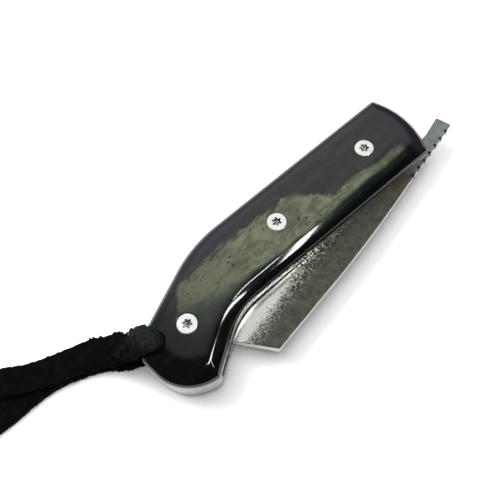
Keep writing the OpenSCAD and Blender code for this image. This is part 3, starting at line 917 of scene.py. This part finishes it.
def forged_relief(points, height, seed):
    """Shallow hammer marks on the forged flats, fading out on the ground bevel and under the washers."""
    fade = np.clip((height - BEVEL_H - 0.3) / 1.2, 0, 1)
    fade = np.maximum(fade, np.clip((2 - points[:, 0]) / 4, 0, 1))
    fade *= np.clip((np.hypot(points[:, 0], points[:, 1]) - 7) / 2, 0, 1)
    broad = np.array([noise(Vector((x * 0.33, y * 0.33, seed))) for x, y in points])
    small = np.array([noise(Vector((x * 1.3, y * 1.3, seed))) for x, y in points])
    marks = broad * 0.65 + small * 0.35
    return fade * np.clip(0.5 - marks, 0, 1) * 0.12


def blade_face(inner, bore):
    """Points and triangles of one face of the blade, on a fine grid inside its eased outline and bore."""
    rows = []
    for j in range(-60, 80):
        s = np.arange(-60, 90, FACE_STEP) + (FACE_STEP / 2 if j % 2 else 0)
        height = BEVEL_H + j * FACE_STEP * ROW_RISE
        rows.append(np.array(EDGE_START) + s[:, None] * EDGE_ALONG + EDGE_NORMAL * height)
    grid = np.concatenate(rows)
    clear = np.hypot(grid[:, 0], grid[:, 1]) > BARREL_R + 0.5
    grid = grid[inside(grid, shrunk(inner, GRID_CLEAR)) & clear]
    points = np.vstack([inner, bore, grid])
    loops = []
    for start, count in ((0, len(inner)), (len(inner), len(bore))):
        loops += [(start + k, start + (k + 1) % count) for k in range(count)]
    made = delaunay_2d_cdt([Vector(p) for p in points], loops, [], 0, 1e-7)
    flat = np.array([tuple(p) for p in made[0]])
    faces = np.array(made[2])
    middle = flat[faces].mean(axis=1)
    return flat, faces[inside(middle, inner) & ~inside(middle, bore)]


def blade_region(middle, normal):
    """0 on the blade's faces, 1 on its edge walls, where a brighter steel is a painted reflection, and 2 in
    the notches, where a near-black steel is painted shade.
    """
    slope = np.array([math.cos(NOTCH_SLOPE), math.sin(NOTCH_SLOPE)])
    from_first = np.array([middle.x, middle.y]) - np.array(NOTCH_FIRST)
    depth = float(from_first @ np.array([slope[1], -slope[0]]))
    if abs(normal.z) > 0.85:
        return 0
    if 0.12 < depth < NOTCH_D + 0.1 and -1 < from_first @ slope < NOTCH_PITCH * NOTCHES:
        return 2
    return 1


def make_blade(material, edge, notch):
    """Blade, tang and lever in one piece: fine faces joined by an eased wall, and a bored tang."""
    outline = spaced(blade_outline(), WALL_STEP)
    bore = circle_ring(PIVOT, BARREL_R + FIT_GAP, 0)[:, :2]
    flat, triangles = blade_face(shrunk(outline, BLADE_CHAMFER), bore)
    half, height = half_thickness(flat)
    half_wall = half_thickness(outline)[0]
    wall = half_wall - np.minimum(BLADE_CHAMFER, half_wall * 0.45)
    n_out, n_bore, n = len(outline), len(bore), len(flat)
    verts = [np.column_stack([flat, blade_mid + (half - forged_relief(flat, height, 4.2))]),
             np.column_stack([flat, blade_mid - (half - forged_relief(flat, height, 8.9))]),
             np.column_stack([outline, blade_mid + wall]),
             np.column_stack([outline, blade_mid - wall])]
    faces = [tuple(int(i) for i in f) for f in triangles]
    faces += [tuple(int(i) + n for i in f) for f in triangles[:, ::-1]]
    top_wall, low_wall = 2 * n, 2 * n + n_out
    for k in range(n_out):
        m = (k + 1) % n_out
        faces += [(k, top_wall + k, top_wall + m, m),
                  (top_wall + k, low_wall + k, low_wall + m, top_wall + m),
                  (low_wall + k, n + k, n + m, low_wall + m)]
    for k in range(n_bore):
        a, b = n_out + k, n_out + (k + 1) % n_bore
        faces.append((a, b, n + b, n + a))
    piece = make_mesh("blade_body", np.concatenate(verts), faces)
    settle(piece, material, "blade", sharp=28, replaces=["blade"])
    paint(piece, [material, edge, notch], blade_region)


# ---------------------------------------------------------------- studio

def make_floor():
    """A matt white ground under the knife."""
    bpy.ops.mesh.primitive_grid_add(size=3.0, x_subdivisions=4, y_subdivisions=4)
    floor = bpy.context.object
    floor.name = "floor"
    floor.data.materials.append(floor_material())


def make_world():
    """Soft studio surroundings: a bright ceiling behind the knife's back, darker over its belly side."""
    world = bpy.data.worlds.new("studio")
    bpy.context.scene.world = world
    world.use_nodes = True
    tree = world.node_tree
    tree.nodes.clear()
    out = tree.nodes.new("ShaderNodeOutputWorld")
    shine = tree.nodes.new("ShaderNodeBackground")
    place = tree.nodes.new("ShaderNodeTexCoord")
    tree.links.new(shine.outputs[0], out.inputs[0])

    def toward(direction, low, high):
        """A smooth step from 0 to 1 as the view turns toward the direction."""
        dot = tree.nodes.new("ShaderNodeVectorMath")
        dot.operation = "DOT_PRODUCT"
        tree.links.new(place.outputs["Generated"], dot.inputs[0])
        dot.inputs[1].default_value = unit(direction)
        step = tree.nodes.new("ShaderNodeMapRange")
        step.interpolation_type = "SMOOTHSTEP"
        step.inputs["From Min"].default_value = low
        step.inputs["From Max"].default_value = high
        tree.links.new(dot.outputs["Value"], step.inputs["Value"])
        return step.outputs["Result"]

    def combine(operation, a, b):
        node = tree.nodes.new("ShaderNodeMath")
        node.operation = operation
        for socket, value in zip(node.inputs, (a, b)):
            if isinstance(value, float):
                socket.default_value = value
            else:
                tree.links.new(value, socket)
        return node.outputs[0]

    total = combine("MULTIPLY", toward((-0.42, -0.45, 0.79), 0.84, 0.98), 0.62)
    total = combine("ADD", total, combine("MULTIPLY", toward((0.0, -1.0, 0.1), 0.3, 1.0), 0.40))
    total = combine("ADD", total, 0.045)
    tree.links.new(total, shine.inputs["Strength"])
    shine.inputs["Color"].default_value = (0.97, 0.98, 1.0, 1.0)


def make_light(name, place, size, power, turn=0.0, shows_in_gloss=False, lights_floor=True):
    """A soft rectangular light that faces the middle of the knife, its first side along the handle."""
    data = bpy.data.lights.new(name, "AREA")
    data.shape = "RECTANGLE"
    data.size, data.size_y = size
    data.energy = power
    light = bpy.data.objects.new(name, data)
    bpy.context.scene.collection.objects.link(light)
    light.location = place
    aim = Vector((0.045, -0.003, 0.007))
    back = (light.location - aim).normalized()
    right = (Vector((1, 0, 0)) - back * back.x).normalized()
    facing = Matrix((right, back.cross(right), back)).transposed()
    light.rotation_euler = (facing @ Matrix.Rotation(math.radians(turn), 3, "Z")).to_euler()
    light.visible_glossy = shows_in_gloss
    light.visible_diffuse = lights_floor


# ---------------------------------------------------------------- the scene

make_camera()

leather = leather_material()
make_lace("lanyard_near_strap", "lanyard_near_tail", NEAR_ROUTE, leather, rag=1.6, seed=0.0, swell=1.0)
make_lace("lanyard_far_strap", "lanyard_far_tail", FAR_ROUTE, leather, rag=0.9, seed=40.0, swell=0.0)
make_lace_bundle(leather)

horn = horn_material()
make_scale("near_scale_body", "near_scale", horn, z=near_scale_z, flipped=False)
make_scale("far_scale_body", "far_scale", horn, z=0.0, flipped=True)

liner_steel = steel_material("liner_steel", (0.50, 0.50, 0.50), 0.30, (150, 150, 5200))
make_liner("near_liner_body", "near_liner", liner_steel, near_liner_z, near_scale_z)
make_liner("far_liner_body", "far_liner", liner_steel, far_liner_z, slot_z)
make_spacer(liner_steel)

screw_steel = steel_material("screw_steel", (0.93, 0.93, 0.92), 0.22, (2600, 2600, 900),
                             spread=0.03, line_depth=0.0004, metal=0.7)
# Painted shade: a darker steel for the screw recesses
recess_shade_steel = steel_material("recess_shade_steel", (0.50, 0.49, 0.42), 0.20, (2600, 2600, 2600), line_depth=0.03)
for label, place in (("pivot", PIVOT), ("mid", MID), ("rear", REAR)):
    make_screw(label + "_near_head", label + "_screw_near", screw_steel, recess_shade_steel, place, near=True)
    make_screw(label + "_far_head", label + "_screw_far", screw_steel, recess_shade_steel, place, near=False)

# Painted reflection: the edge walls take a brighter steel than the forged faces, standing in for the white
# floor reflected in them
edge_sheen_steel = steel_material("blade_edge_sheen_steel", (0.70, 0.70, 0.66), 0.22, (900, 900, 5200), spread=0.08)
# Painted shade: near-black steel for the walls inside the grip notches
notch_shade_steel = steel_material("notch_shade_steel", (0.035, 0.036, 0.035), 0.38, (1500, 1500, 1500))
make_blade(blade_material(), edge_sheen_steel, notch_shade_steel)

pin_steel = steel_material("pin_steel", (0.60, 0.60, 0.61), 0.24, (900, 900, 4200))
bronze = steel_material("washer_bronze", (0.62, 0.41, 0.20), 0.30, (1500, 1500, 700))
for node, finish in (("pivot_barrel", pin_steel), ("mid_barrel", pin_steel), ("rear_barrel", pin_steel),
                     ("stop_pin", pin_steel), ("spacer_dowels", pin_steel),
                     ("near_washer", bronze), ("far_washer", bronze)):
    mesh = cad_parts[node].data
    mesh.materials.clear()
    mesh.materials.append(finish)

make_floor()
make_world()
make_light("key", place=(0.11, -0.46, 0.53), size=(0.5, 0.4), power=5.8)
make_light("top", place=(0.045, 0.08, 0.80), size=(0.8, 0.8), power=7.4)
make_light("belly_strip", place=(0.003, 0.105, 0.467), size=(0.155, 0.018), power=0.28,
           shows_in_gloss=True, lights_floor=False)
make_light("belly_window", place=(-0.092, 0.195, 0.430), size=(0.030, 0.20), power=0.62, turn=-14.0,
           shows_in_gloss=True, lights_floor=False)
bpy.context.scene.view_settings.view_transform = "Standard"

bpy.context.view_layer.update()
